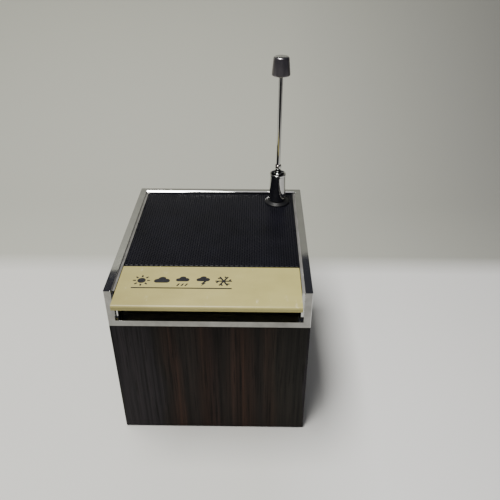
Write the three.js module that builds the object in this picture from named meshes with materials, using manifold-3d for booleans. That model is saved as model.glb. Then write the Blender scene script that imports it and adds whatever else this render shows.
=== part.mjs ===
// A cube-shaped battery weather-band radio: a wood-grain sleeve clamped between a plated top frame and a
// black base plate, with a pivoting touch bar, a perforated speaker grille and a telescopic antenna.
// Millimetres, +Z up, the front faces -Y. Heights are given above the cabinet's lower edge, and the whole
// model is raised by the feet at the end, so that the origin is the centre of the plan at floor level.
import * as THREE from "three";
import { mergeVertices } from "three/addons/utils/BufferGeometryUtils.js";
import Module from "manifold-3d";

const wasm = await Module();
wasm.setup();

// ---------------------------------------------------------------- driving dimensions
const WIDTH = 95;
const DEPTH = 101;
const TOP = 90.7; // height of the plated rails
const FRONT = -47.25; // y of the cabinet's front face
const BACK = FRONT + DEPTH;
const HALF = WIDTH / 2;
const GAP = 0.3; // running and assembly clearance

const LIFT = 0.8; // the feet raise the cabinet's lower edge by this much
const SLEEVE_INSET = 0.02; // the sleeve's faces are all but flush with the plated frame's
const SLEEVE_WALL = 3.2;
const SLEEVE_CORNER = 0.3; // radius of the sleeve's upright corners
const SLEEVE_TOP = 70;
const FRAME_BOTTOM = 70.3;
const FRAME_CORNER = 0.5; // radius of the plated frame's upright corners
const INNER_CORNER = 0.4; // radius of the corners inside the sleeve and between the rails
const TONGUE_DROP = 4.3; // how far the frame's tongue reaches down into the sleeve
const RAIL = 3.5; // width of a side rail seen from above
const REAR_RAIL = 2.6;
const REAR_COVE = { width: 0.7, drop: 0.8 }; // a slope along the inside of the rear rail
const FRONT_RAIL_TOP = 73.5;
const STEP = 1.2; // width of the inner lip beside the grille
const STEP_DROP = 1.3; // depth of that lip, and of the grille, below the rails
const STEP_SETBACK = 2; // the lip's front end stands this far behind the front face
const FACE = TOP - STEP_DROP; // height of the grille's and the touch bar's top faces
const OPENING = HALF - RAIL - STEP; // half the width between the lips
const SLEEVE_INNER = HALF - SLEEVE_INSET - SLEEVE_WALL;
const TONGUE = SLEEVE_INNER - GAP; // half width of everything that fits inside the sleeve
const TONGUE_FRONT = FRONT + HALF - TONGUE;
const TONGUE_BACK = BACK - HALF + TONGUE;
// The opening through the frame's floor, and the two shelves beside it that carry the deck.
const WELL = { half: 42.2, front: -42, back: 48.5, corner: 0.6 };
const SHELF = { inner: 40.6, front: -18, back: 48, bottom: 84.3 };

const BAR_OVERHANG = 8.75; // the touch bar stands out this far past the front face
const BAR_FRONT = FRONT - BAR_OVERHANG;
const BAR_BACK = FRONT + 22;
const BAR_PLATE = 2.2;
const BAR_LIP = 2.6; // height of the bar's thicker front edge
const ARM = { inner: 32.5, outer: 35.5, bottom: 82.2 }; // the bar's two arms, across and down
const PIVOT = { y: FRONT + 25, z: 84, radius: 1 };
const GRILLE_FRONT = BAR_BACK + 0.5;
const SHEET = 0.5; // grille metal
const GRILLE_SKIRT = 2.5; // how far the grille's front edge is folded down
const DECK = { bottom: 86.3, top: 88.5 };
const LUG = { x: 37.5, half: 0.9, bottom: 82 }; // the deck's lugs for the pivot rod

const ANTENNA = { x: 33.4, y: FRONT + 88.25 };
const ANTENNA_HOLE = 5.5; // radius of the holes that the antenna's foot goes through
const CUP_RIM = 107.6;
const TIP = { bottom: 162.5, top: 172.1 };
const SPEAKER = { x: -8, y: 12.75, radius: 28.5, opening: 25 };
const BOARD = { bottom: 36.3, top: 37.9, left: -34, right: 30, front: -36, back: 46.5 };
const BASE_BOTTOM = 1.2; // the base plate is set up inside the sleeve
const BASE_TOP = 3.7;
const REACH = BACK + 2.25; // how far back the thumbwheels' rims stand out
const WHEEL = { bottom: 46.6, top: 49.8 };
const VOLUME = { x: -24.5, radius: 10 };
const TUNING = { x: 4, radius: 15 };
const JACK = { x: 25.5, z: 48.2 };
const PANEL = { left: -40, right: 40, bottom: 36, top: 60 };
const BAY = { x: 28.7, y: 15.7, top: 23.4 }; // half sizes and ceiling of the battery's bay
const HINGE = { y: BAY.y - 1.2, z: 2.3, radius: 0.9, pin: 0.5 }; // the battery door's hinge
const PILLAR = { x: 39.4, front: -39.2, back: 45.7, radius: 3.2, bottom: 4 };
const SCREW_HOLE = 1.75; // radius of the holes for the base screws
const FOOT = { x: 30, front: -38, back: 44, radius: 5 };

// ---------------------------------------------------------------- materials
const finish = (color, roughness, metalness) =>
  new THREE.MeshStandardMaterial({ color, roughness, metalness });
const WOOD_GRAIN = finish(0x2e1f1a, 0.45, 0);
const CHROME = finish(0xd6d8d8, 0.12, 1);
const IVORY = finish(0xb9ae84, 0.4, 0);
const BLACK_METAL = finish(0x1b1b1e, 0.5, 0.3);
const BLACK_PLASTIC = finish(0x141414, 0.55, 0);
const BLACK_CLOTH = finish(0x0c0c0c, 0.95, 0);
const RUBBER = finish(0x1a1a1a, 0.9, 0);
const STEEL = finish(0x9c9c9a, 0.35, 1);
const PAPER = finish(0x2a2622, 0.9, 0);
const FERRITE = finish(0x3a3a3c, 0.7, 0.2);
const BOARD_BROWN = finish(0x8a5a2b, 0.7, 0);
const BRASS = finish(0xb08d48, 0.35, 1);
const CAN_TIN = finish(0xa9aaa8, 0.4, 1);
const BATTERY_SKIN = finish(0x4a4d52, 0.45, 0.2);
const WIRE_RED = finish(0x8e1f1a, 0.6, 0);
const CAPACITOR_BLUE = finish(0x27406b, 0.5, 0);

// ---------------------------------------------------------------- geometry helpers
// A closed three.js geometry as a manifold-3d solid.
function toSolid(geometry) {
  const bare = geometry.index ? geometry.toNonIndexed() : geometry.clone();
  bare.deleteAttribute("normal");
  bare.deleteAttribute("uv");
  const merged = mergeVertices(bare);
  const vertProperties = merged.attributes.position.array;
  const triVerts = new Uint32Array(merged.index.array);
  return new wasm.Manifold(new wasm.Mesh({ numProp: 3, vertProperties, triVerts }));
}

// A manifold-3d solid as a three.js geometry.
function toGeometry(solid) {
  const { numProp, vertProperties, triVerts } = solid.getMesh();
  const geometry = new THREE.BufferGeometry();
  geometry.setAttribute("position", new THREE.BufferAttribute(vertProperties.slice(), numProp));
  geometry.setIndex(new THREE.BufferAttribute(triVerts.slice(), 1));
  return geometry;
}

// The union of several geometries.
function join(...geometries) {
  return toGeometry(geometries.map(toSolid).reduce((all, next) => all.add(next)));
}

// A geometry with several others cut out of it.
function cut(geometry, ...tools) {
  return toGeometry(tools.map(toSolid).reduce((left, tool) => left.subtract(tool), toSolid(geometry)));
}

// A box from its lowest to its highest corner.
function block([x0, y0, z0], [x1, y1, z1]) {
  const box = new THREE.BoxGeometry(x1 - x0, y1 - y0, z1 - z0);
  return box.translate((x0 + x1) / 2, (y0 + y1) / 2, (z0 + z1) / 2);
}

// An upright cylinder between two heights.
function post(x, y, radius, z0, z1, sides = 20) {
  const cylinder = new THREE.CylinderGeometry(radius, radius, z1 - z0, sides);
  return cylinder.rotateX(Math.PI / 2).translate(x, y, (z0 + z1) / 2);
}

// A cylinder along Y between two depths.
function stub(x, z, radius, y0, y1, sides = 20) {
  return new THREE.CylinderGeometry(radius, radius, y1 - y0, sides).translate(x, (y0 + y1) / 2, z);
}

// A cylinder along X, centred on x = 0.
function rod(halfLength, y, z, radius, sides = 16) {
  const cylinder = new THREE.CylinderGeometry(radius, radius, 2 * halfLength, sides);
  return cylinder.rotateZ(Math.PI / 2).translate(0, y, z);
}

// A body turned about Z from [radius, height] points, which run anticlockwise round the section.
function turned(profile, sides = 32) {
  const points = profile.map(([radius, height]) => new THREE.Vector2(radius, height));
  return new THREE.LatheGeometry(points, sides).rotateX(Math.PI / 2);
}

// An open tube standing between two heights.
function pipe(inner, outer, z0, z1, sides = 16) {
  return turned([[inner, z0], [outer, z0], [outer, z1], [inner, z1], [inner, z0]], sides);
}

// A flat outline of [y, z] points swept along X.
function swept(points, x0, x1) {
  const shape = new THREE.Shape(points.map(([y, z]) => new THREE.Vector2(y, z)));
  const solid = new THREE.ExtrudeGeometry(shape, { depth: x1 - x0, bevelEnabled: false });
  return solid.rotateX(Math.PI / 2).rotateZ(Math.PI / 2).translate(x0, 0, 0);
}

// A rectangle in plan with rounded corners, as a closed path.
function roundedRect(path, x0, y0, x1, y1, radius) {
  path.moveTo(x0 + radius, y0);
  path.lineTo(x1 - radius, y0);
  path.absarc(x1 - radius, y0 + radius, radius, -Math.PI / 2, 0);
  path.lineTo(x1, y1 - radius);
  path.absarc(x1 - radius, y1 - radius, radius, 0, Math.PI / 2);
  path.lineTo(x0 + radius, y1);
  path.absarc(x0 + radius, y1 - radius, radius, Math.PI / 2, Math.PI);
  path.lineTo(x0, y0 + radius);
  path.absarc(x0 + radius, y0 + radius, radius, Math.PI, 1.5 * Math.PI);
  return path;
}

// A rectangular ring in plan, between two heights. Each rectangle is [x0, y0, x1, y1, corner radius].
function ring(outer, inner, z0, z1) {
  const shape = roundedRect(new THREE.Shape(), ...outer);
  shape.holes.push(roundedRect(new THREE.Path(), ...inner));
  const options = { depth: z1 - z0, bevelEnabled: false, curveSegments: 4 };
  return new THREE.ExtrudeGeometry(shape, options).translate(0, 0, z0);
}

// An insulated wire of round section along a smooth path.
function wire(points, radius) {
  const section = new THREE.Shape().absarc(0, 0, radius, 0, 2 * Math.PI);
  const extrudePath = new THREE.CatmullRomCurve3(points.map((p) => new THREE.Vector3(...p)));
  return new THREE.ExtrudeGeometry(section, { extrudePath, steps: 18, curveSegments: 4 });
}

const model = new THREE.Group();

// Adds one named piece to a group.
function add(name, geometry, material, group = model) {
  const mesh = new THREE.Mesh(geometry, material);
  mesh.name = name;
  group.add(mesh);
  return mesh;
}

// ---------------------------------------------------------------- cabinet
// The sleeve is a four-sided tube with a window at the back for the control panel.
function cabinetSleeve() {
  const out = HALF - SLEEVE_INSET;
  const outer = [-out, FRONT + SLEEVE_INSET, out, BACK - SLEEVE_INSET, SLEEVE_CORNER];
  const wall = SLEEVE_INSET + SLEEVE_WALL;
  const inner = [-SLEEVE_INNER, FRONT + wall, SLEEVE_INNER, BACK - wall, INNER_CORNER];
  const tube = ring(outer, inner, 0, SLEEVE_TOP);
  const window = block([PANEL.left, BACK - wall - 1, PANEL.bottom], [PANEL.right, BACK + 1, PANEL.top]);
  return cut(tube, window);
}

// The plated frame: side rails with a lower inner lip, a rear wall, a low front rail, a tongue that
// locates in the sleeve, two shelves for the deck and four pillars that take the base screws.
function topFrame() {
  const well = [-WELL.half, WELL.front, WELL.half, WELL.back, WELL.corner];
  const plan = [-HALF, FRONT, HALF, BACK, FRAME_CORNER];
  const tonguePlan = [-TONGUE, TONGUE_FRONT, TONGUE, TONGUE_BACK, WELL.corner];
  const inside = HALF - RAIL;
  const wall = BACK - REAR_RAIL;
  const tub = ring(plan, [-inside, FRONT + RAIL, inside, wall, INNER_CORNER], FRAME_BOTTOM, TOP);
  const mouth = block([-inside, FRONT - 1, FRONT_RAIL_TOP], [inside, FRONT + RAIL + 1, TOP + 1]);
  let frame = cut(tub, mouth);
  frame = join(frame, ring(plan, well, FRAME_BOTTOM, FRONT_RAIL_TOP));
  frame = join(frame, ring(tonguePlan, well, FRAME_BOTTOM - TONGUE_DROP, FRAME_BOTTOM + 1));
  const coveFront = wall - REAR_COVE.width;
  frame = join(frame, swept([
    [wall + 0.1, FACE - 0.8], [coveFront, FACE - 0.8], [coveFront, TOP - REAR_COVE.drop],
    [wall, TOP - 0.05], [wall + 0.1, TOP - 0.05],
  ], -inside - 0.1, inside + 0.1));
  for (const side of [-1, 1]) {
    const near = side * OPENING;
    const far = side * (inside + 0.5);
    const lip = [Math.min(near, far), Math.max(near, far)];
    frame = join(frame, block([lip[0], FRONT + STEP_SETBACK, FRAME_BOTTOM + 1], [lip[1], wall + 0.5, FACE]));
    const shelf = [side * SHELF.inner, side * (OPENING + 0.2)].sort((a, b) => a - b);
    frame = join(frame,
      block([shelf[0], SHELF.front, SHELF.bottom], [shelf[1], SHELF.back, DECK.bottom - GAP]));
    for (const y of [PILLAR.front, PILLAR.back]) {
      const pillar = post(side * PILLAR.x, y, PILLAR.radius, PILLAR.bottom, FRAME_BOTTOM + 0.9, 20);
      const hole = post(side * PILLAR.x, y, SCREW_HOLE, PILLAR.bottom - 1, PILLAR.bottom + 16, 12);
      frame = cut(join(frame, pillar), hole);
    }
  }
  return frame;
}

// The black panel at the back of the recess under the bar, with the shelf that carries the switch.
function recessPanel() {
  const wallFront = FRONT + 8;
  const floor = [71.6, 73.2];
  const shelfFront = WELL.front + GAP;
  const shelfBack = -27;
  const wall = [wallFront, wallFront + 1.2];
  const shelf = swept([
    [shelfFront, floor[0]], [shelfBack, floor[0]], [shelfBack, floor[1]], [wall[1], floor[1]],
    [wall[1], 80], [wall[0], 80], [wall[0], floor[1]], [shelfFront, floor[1]],
  ], GAP - WELL.half, WELL.half - GAP);
  return join(shelf, block([-OPENING + GAP, wall[0], 73.8], [OPENING - GAP, wall[1], 84.8]));
}

// ---------------------------------------------------------------- top deck, grille and cloth
function topDeck() {
  const half = OPENING - GAP;
  const plate = block([-half, GRILLE_FRONT + 0.9, DECK.bottom], [half, BACK - REAR_RAIL - GAP, DECK.top]);
  let deck = cut(plate,
    post(SPEAKER.x, SPEAKER.y, SPEAKER.opening, DECK.bottom - 1, DECK.top + 1, 40),
    post(ANTENNA.x, ANTENNA.y, ANTENNA_HOLE, DECK.bottom - 1, DECK.top + 1, 24));
  for (const x of [-LUG.x, LUG.x]) {
    deck = join(deck, block([x - LUG.half, GRILLE_FRONT + 0.9, LUG.bottom],
      [x + LUG.half, PIVOT.y + 1.85, DECK.bottom + 0.5]));
  }
  return cut(deck, rod(HALF, PIVOT.y, PIVOT.z, PIVOT.radius + 0.1));
}

// The grille is a sheet that bends down over the deck's front edge.
function speakerGrille() {
  const bend = 1;
  const under = FACE - SHEET;
  const back = BACK - REAR_RAIL - REAR_COVE.width - 0.25;
  const outline = [[back, FACE], [GRILLE_FRONT + bend, FACE]];
  for (let i = 1; i <= 4; i += 1) {
    const turn = (i / 4) * (Math.PI / 2);
    outline.push([GRILLE_FRONT + bend - bend * Math.sin(turn), FACE - bend + bend * Math.cos(turn)]);
  }
  outline.push([GRILLE_FRONT, FACE - GRILLE_SKIRT], [GRILLE_FRONT + SHEET, FACE - GRILLE_SKIRT]);
  outline.push([GRILLE_FRONT + SHEET, FACE - bend], [GRILLE_FRONT + bend, under], [back, under]);
  const sheet = swept(outline, -OPENING + GAP, OPENING - GAP);
  return cut(sheet, post(ANTENNA.x, ANTENNA.y, ANTENNA_HOLE, under - 1, FACE + 1, 24));
}

function grilleCloth() {
  const half = OPENING - GAP - 0.5;
  const bottom = DECK.top + 0.05;
  const back = BACK - REAR_RAIL - REAR_COVE.width - 0.4;
  const cloth = block([-half, GRILLE_FRONT + 2, bottom], [half, back, bottom + 0.3]);
  return cut(cloth, post(ANTENNA.x, ANTENNA.y, ANTENNA_HOLE, DECK.top - 1, DECK.top + 1, 24));
}

// ---------------------------------------------------------------- touch bar and switch
const SWITCH_Y = FRONT + 14;

function touchBar() {
  const half = OPENING - GAP;
  const under = FACE - BAR_PLATE;
  const plate = swept([
    [BAR_BACK, under], [BAR_BACK, FACE - 0.4], [BAR_BACK - 0.4, FACE],
    [BAR_FRONT + 0.8, FACE], [BAR_FRONT + 0.25, FACE - 0.3], [BAR_FRONT, FACE - 0.9],
    [BAR_FRONT, FACE - BAR_LIP], [BAR_FRONT + 2.2, FACE - BAR_LIP], [BAR_FRONT + 2.6, under],
  ], -half, half);
  const armOutline = [
    [SWITCH_Y, under + 0.1], [SWITCH_Y, 86], [PIVOT.y - 4.75, ARM.bottom], [PIVOT.y + 2.05, ARM.bottom],
    [PIVOT.y + 2.05, 85.8], [BAR_BACK - 0.15, 85.8], [BAR_BACK - 0.15, under + 0.1],
  ];
  const boss = post(0, SWITCH_Y, 3.5, 86, under + 0.1, 16);
  const arms = [swept(armOutline, -ARM.outer, -ARM.inner), swept(armOutline, ARM.inner, ARM.outer)];
  const bar = join(plate, boss, ...arms);
  return cut(bar, rod(HALF, PIVOT.y, PIVOT.z, PIVOT.radius + GAP));
}

function pushSwitchBody() {
  const body = block([-7, SWITCH_Y - 4.5, 73.5], [7, SWITCH_Y + 4.5, 84]);
  return cut(body, post(0, SWITCH_Y, 2.6, 77.3, 85, 16));
}

// ---------------------------------------------------------------- antenna
function antennaGrommet() {
  return turned([
    [3, 85.2], [5.2, 85.2], [5.2, FACE + 0.1], [7.1, FACE + 0.1], [7.1, FACE + 0.7],
    [6.6, FACE + 1.2], [5.2, FACE + 1.6], [3, FACE + 1.6], [3, 85.2],
  ], 32);
}

// The plated sleeve at the antenna's foot tapers upwards and ends in a cup with a rolled rim.
function antennaBaseSleeve() {
  const foot = FACE + 1.9;
  return turned([
    [3, foot], [4.75, foot], [4.28, CUP_RIM - 1.6], [4.5, CUP_RIM - 1.1], [4.5, CUP_RIM - 0.3],
    [4.2, CUP_RIM], [3.8, CUP_RIM], [3.5, CUP_RIM - 0.3], [3.5, CUP_RIM - 5], [3, CUP_RIM - 5.4], [3, foot],
  ], 40);
}

// Antenna sections, from the fixed tube inwards: outer radius, inner radius, bottom and top.
const OUTER_TUBE = { inner: 2.4, outer: 2.7, bottom: 12, top: 106 };
const LOWER_SECTION = { inner: 1.9, outer: 2.2, bottom: 20, top: 108.2 };
const MIDDLE_SECTION = { inner: 1.35, outer: 1.75, bottom: 24, top: 112.8 };
const section = ({ inner, outer, bottom, top }) => pipe(inner, outer, bottom, top, 20);

// The cap's skirt is hollow, so that it drops over the end of the middle section and rests on the cup.
function antennaTipCap() {
  const skirt = TIP.bottom + 6;
  return turned([
    [3.2, TIP.bottom], [4.55, TIP.bottom], [4.8, TIP.bottom + 0.5], [4.05, TIP.top - 0.8],
    [3.6, TIP.top - 0.25], [2.6, TIP.top], [0, TIP.top], [0, skirt + 2],
    [1.4, skirt + 2], [1.4, skirt], [3.2, skirt], [3.2, TIP.bottom],
  ], 32);
}

// A spring clip that ties the fixed tube to the circuit board.
function antennaClip() {
  const hoop = pipe(2.95, 3.9, 38.2, 42.2, 20);
  const tab = block([-9.4, -1.5, 38.2], [-3.2, 1.5, 39]);
  return join(hoop, tab);
}

// ---------------------------------------------------------------- speaker
const DRIVER_TOP = DECK.bottom - GAP;

function speakerBasket() {
  const shell = turned([
    [0, 70], [12, 70], [13, 70.6], [25.6, DRIVER_TOP - 1.4], [SPEAKER.radius, DRIVER_TOP - 1.4],
    [SPEAKER.radius, DRIVER_TOP], [25.2, DRIVER_TOP], [12.2, 71], [0, 71],
  ], 32);
  const windows = [0, 1, 2, 3].map((i) => {
    const slot = block([14.5, -5, 69], [22, 5, 83.5]);
    return slot.rotateZ((i + 0.5) * (Math.PI / 2));
  });
  return cut(shell, ...windows);
}

// The paper cone has a domed dust cap at its centre and a rolled surround at its edge.
function speakerCone() {
  return turned([
    [0, 78.4], [5, 77], [8, 74.6], [9, 74.6], [20, 83], [21.2, 84], [23.2, 84.4], [23.2, 84.9],
    [21.1, 84.6], [19.7, 83.7], [9, 75.6], [8.3, 75.4], [5.2, 77.7], [0, 79.2],
  ], 32);
}

// ---------------------------------------------------------------- electronics
const PCB_SCREWS = [[-30, -32], [26, -32], [-30, 30], [26, 30]];

function circuitBoard() {
  const board = block([BOARD.left, BOARD.front, BOARD.bottom], [BOARD.right, BOARD.back, BOARD.top]);
  return cut(board, ...PCB_SCREWS.map(([x, y]) => post(x, y, 1.7, BOARD.bottom - 1, BOARD.top + 1, 12)));
}

// A knurled disc with a round bore, lying flat.
function thumbwheel(radius, bore, teeth) {
  const shape = new THREE.Shape();
  for (let i = 0; i < teeth * 2; i += 1) {
    const angle = (i / (teeth * 2)) * 2 * Math.PI;
    const reach = i % 2 ? radius - 0.6 : radius;
    shape[i ? "lineTo" : "moveTo"](reach * Math.cos(angle), reach * Math.sin(angle));
  }
  shape.holes.push(new THREE.Path().absarc(0, 0, bore, 0, 2 * Math.PI, true));
  const thickness = WHEEL.top - WHEEL.bottom;
  return new THREE.ExtrudeGeometry(shape, { depth: thickness, bevelEnabled: false, curveSegments: 8 });
}

// A screw standing head down or head up: a slotted head, then a plain shank.
function screw(headRadius, headHeight, shankRadius, shankLength) {
  const body = join(post(0, 0, headRadius, 0, headHeight, 20),
    post(0, 0, shankRadius, headHeight - 0.1, headHeight + shankLength, 12));
  const slot = block([-headRadius - 1, -0.4, -1], [headRadius + 1, 0.4, headHeight * 0.45]);
  return cut(body, slot, slot.clone().rotateZ(Math.PI / 2));
}

function shaft(radius, boreRadius) {
  const bar = post(0, 0, radius, 0, 4, 20);
  return boreRadius ? cut(bar, post(0, 0, boreRadius, 0.6, 5, 12)) : bar;
}

// ---------------------------------------------------------------- rear panel and socket
function rearControlPanel() {
  const flange = block([-42, TONGUE_BACK - 0.85, 34], [42, TONGUE_BACK, 62]);
  const plate = block([PANEL.left + GAP, TONGUE_BACK - 0.1, PANEL.bottom + GAP],
    [PANEL.right - GAP, BACK - 0.8, PANEL.top - GAP]);
  const slot = (x, halfWidth) =>
    block([x - halfWidth, TONGUE_BACK - 2, WHEEL.bottom - 0.5], [x + halfWidth, BACK + 1, WHEEL.top + 0.5]);
  return cut(join(flange, plate),
    slot(VOLUME.x, 9.8), slot(TUNING.x, 13), stub(JACK.x, JACK.z, 3.3, TONGUE_BACK - 2, BACK + 1));
}

function adapterJack() {
  const body = block([JACK.x - 4, 38, JACK.z - 5], [JACK.x + 4, 48.9, JACK.z + 5]);
  const bush = stub(JACK.x, JACK.z, 3, 48, BACK + 0.9);
  return cut(join(body, bush), stub(JACK.x, JACK.z, 1.75, 41, BACK + 2, 16));
}

function adapterJackNut() {
  return cut(stub(JACK.x, JACK.z, 4.7, BACK - 0.5, BACK + 0.7, 6),
    stub(JACK.x, JACK.z, 3 + GAP, BACK - 2, BACK + 2, 20));
}

// ---------------------------------------------------------------- base plate, battery and door
// The base plate carries the battery's box, the board's standoffs and the antenna's socket.
function basePlate() {
  const plate = block([-TONGUE, TONGUE_FRONT, BASE_BOTTOM], [TONGUE, TONGUE_BACK, BASE_TOP]);
  const box = block([-BAY.x - 1.8, -BAY.y - 1.8, BASE_TOP - 0.1], [BAY.x + 1.8, BAY.y + 1.8, BAY.top + 1.6]);
  const standoffs = PCB_SCREWS.map(([x, y]) => post(x, y, 3.2, BASE_TOP - 0.1, BOARD.bottom - GAP, 16));
  const socket = post(ANTENNA.x, ANTENNA.y, 4, BASE_TOP - 0.1, 16, 20);
  const solid = join(plate, box, socket, ...standoffs);
  const corners = [-1, 1].flatMap((side) => [PILLAR.front, PILLAR.back].map((y) => [side * PILLAR.x, y]));
  const feet = [-1, 1].flatMap((side) => [FOOT.front, FOOT.back].map((y) => [side * FOOT.x, y]));
  return cut(solid,
    block([-BAY.x, -BAY.y, 0], [BAY.x, BAY.y, BAY.top]),
    rod(BAY.x + 1.2, HINGE.y, HINGE.z, HINGE.pin + 0.25, 12),
    block([28, -1.5, 9], [32, 5.5, 16]),
    post(ANTENNA.x, ANTENNA.y, OUTER_TUBE.outer + GAP, OUTER_TUBE.bottom - GAP, 17, 20),
    ...PCB_SCREWS.map(([x, y]) => post(x, y, 1.7, 28, BOARD.bottom, 12)),
    ...corners.map(([x, y]) => post(x, y, 3.7, 0, 2.6, 20)),
    ...corners.map(([x, y]) => post(x, y, SCREW_HOLE, 0, BASE_TOP + 1, 12)),
    ...feet.map(([x, y]) => post(x, y, 2.5, 0, BASE_TOP + 1, 12)));
}

// The door swings down on two pins at its rounded rear edge, and has a sunk thumb grip with three ribs.
const DOOR_BOTTOM = HINGE.z - HINGE.radius;
const DOOR_TOP = HINGE.z + HINGE.radius;

function batteryDoor() {
  const half = { x: BAY.x - GAP, y: BAY.y - GAP };
  const plate = block([-half.x, -half.y, DOOR_BOTTOM], [half.x, HINGE.y, DOOR_TOP]);
  const grip = block([-8, -13, DOOR_BOTTOM - 1], [8, -6, DOOR_BOTTOM + 0.8]);
  const ribs = [0, 1, 2].map((i) => block([-8.1, -11.8 + i * 2, DOOR_BOTTOM], [8.1, -11 + i * 2, DOOR_TOP]));
  const barrel = rod(half.x, HINGE.y, HINGE.z, HINGE.radius, 24);
  return join(cut(plate, grip), ...ribs, barrel, rod(BAY.x + 0.8, HINGE.y, HINGE.z, HINGE.pin, 12));
}

function battery() {
  const can = block([-26, -13.25, 3.6], [20.5, 13.25, 21.1]);
  const terminals = [-6.35, 6.35].map((y) => {
    const stud = new THREE.CylinderGeometry(2.9, 2.9, 2.6, 12).rotateZ(Math.PI / 2);
    return stud.translate(21.7, y, 12.35);
  });
  return join(can, ...terminals);
}

function batterySnap() {
  return block([23.4, -12, 6.5], [26.9, 12, 18.2]);
}

// A push-in rubber foot with a stud.
function foot() {
  return turned([
    [0, -LIFT], [4.4, -LIFT], [FOOT.radius, 0.4 - LIFT], [FOOT.radius, BASE_BOTTOM],
    [2.2, BASE_BOTTOM], [2.2, 3.4], [0, 3.4],
  ], 24);
}

// ---------------------------------------------------------------- assembly
add("cabinet_sleeve", cabinetSleeve(), WOOD_GRAIN);
add("chrome_top_frame", topFrame(), CHROME);
add("front_recess_panel", recessPanel(), BLACK_PLASTIC);
add("top_deck", topDeck(), BLACK_PLASTIC);
add("speaker_grille", speakerGrille(), BLACK_METAL);
add("grille_cloth", grilleCloth(), BLACK_CLOTH);

add("touch_bar", touchBar(), IVORY);
add("touch_bar_pivot_rod", rod(39.25, PIVOT.y, PIVOT.z, PIVOT.radius), STEEL);
add("push_switch_body", pushSwitchBody(), CAN_TIN);
add("push_switch_plunger", post(0, 0, 2.2, 79, 85.7, 16), BLACK_PLASTIC).position.set(0, SWITCH_Y, 0);

const antenna = new THREE.Group();
antenna.position.set(ANTENNA.x, ANTENNA.y, 0);
model.add(antenna);
add("antenna_grommet", antennaGrommet(), BLACK_PLASTIC, antenna);
add("antenna_base_sleeve", antennaBaseSleeve(), CHROME, antenna);
add("antenna_outer_tube", section(OUTER_TUBE), CHROME, antenna);
add("antenna_lower_section", section(LOWER_SECTION), CHROME, antenna);
add("antenna_middle_section", section(MIDDLE_SECTION), CHROME, antenna);
add("antenna_tip_rod", post(0, 0, 1.13, 80, TIP.bottom + 7.7, 20), CHROME, antenna);
add("antenna_tip_cap", antennaTipCap(), CHROME, antenna);
add("antenna_clip", antennaClip(), BRASS, antenna);

const driver = new THREE.Group();
driver.position.set(SPEAKER.x, SPEAKER.y, 0);
model.add(driver);
add("speaker_basket", speakerBasket(), STEEL, driver);
add("speaker_cone", speakerCone(), PAPER, driver);
add("speaker_magnet", post(0, 0, 15, 61.5, 69.7, 32), FERRITE, driver);

add("circuit_board", circuitBoard(), BOARD_BROWN);
PCB_SCREWS.forEach(([x, y], i) => {
  const mesh = add(`board_screw_${i + 1}`, screw(2.6, 1.5, 1.3, 7), STEEL);
  mesh.rotation.x = Math.PI;
  mesh.position.set(x, y, BOARD.top + 0.2 + 1.5);
});
const CAN_BOTTOM = BOARD.top + GAP;
[-20, -6, 8].forEach((x, i) => {
  add(`if_transformer_${i + 1}`, block([x - 5, -10, CAN_BOTTOM], [x + 5, 0, CAN_BOTTOM + 12]), CAN_TIN);
});
add("output_transformer", join(
  block([12, -28, CAN_BOTTOM], [22, -12, CAN_BOTTOM + 13]),
  block([10, -25, CAN_BOTTOM], [24, -15, CAN_BOTTOM + 11])), FERRITE);
add("filter_capacitor", post(-22, -24, 5, CAN_BOTTOM, CAN_BOTTOM + 16, 20), CAPACITOR_BLUE);
add("coupling_capacitor", post(-7, -26, 4, CAN_BOTTOM, CAN_BOTTOM + 11, 20), CAPACITOR_BLUE);
add("crystal_can", block([15, 1, CAN_BOTTOM], [19.5, 12, CAN_BOTTOM + 12]), CAN_TIN);

add("tuning_capacitor", block([-5, 30.5, CAN_BOTTOM], [13, 48.9, 45.9]), IVORY);
add("volume_control", block([VOLUME.x - 7, 38, CAN_BOTTOM], [VOLUME.x + 7, 48.9, 45.9]), CAN_TIN);
const tuningKnob = new THREE.Group();
tuningKnob.position.set(TUNING.x, REACH - TUNING.radius, WHEEL.bottom - 0.4);
model.add(tuningKnob);
add("tuning_shaft", shaft(3, 1.6), BRASS, tuningKnob);
add("tuning_thumbwheel", thumbwheel(TUNING.radius, 3.3, 60), BLACK_PLASTIC, tuningKnob).position.z = 0.4;
const wheelScrew = add("tuning_wheel_screw", screw(4.2, 1.2, 1.3, 3), STEEL, tuningKnob);
wheelScrew.rotation.x = Math.PI;
wheelScrew.position.z = 5.5;
const volumeKnob = new THREE.Group();
volumeKnob.position.set(VOLUME.x, REACH - VOLUME.radius, WHEEL.bottom - 0.4);
model.add(volumeKnob);
add("volume_shaft", shaft(2.5, 0), BRASS, volumeKnob);
add("volume_thumbwheel", thumbwheel(VOLUME.radius, 2.8, 40), BLACK_PLASTIC, volumeKnob).position.z = 0.4;

add("rear_control_panel", rearControlPanel(), BLACK_PLASTIC);
add("adapter_jack", adapterJack(), BLACK_PLASTIC);
add("adapter_jack_nut", adapterJackNut(), CHROME);

add("base_plate", basePlate(), BLACK_PLASTIC);
add("battery_door", batteryDoor(), BLACK_PLASTIC);
add("battery", battery(), BATTERY_SKIN);
add("battery_snap", batterySnap(), BLACK_PLASTIC);
for (const [side, x] of [["left", -1], ["right", 1]]) {
  for (const end of ["front", "back"]) {
    const footMesh = add(`foot_${end}_${side}`, foot(), RUBBER);
    footMesh.position.set(x * FOOT.x, FOOT[end], 0);
    const screwMesh = add(`base_screw_${end}_${side}`, screw(3.3, 1, 1.4, 11), STEEL);
    screwMesh.position.set(x * PILLAR.x, PILLAR[end], 1.5);
  }
}

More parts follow.
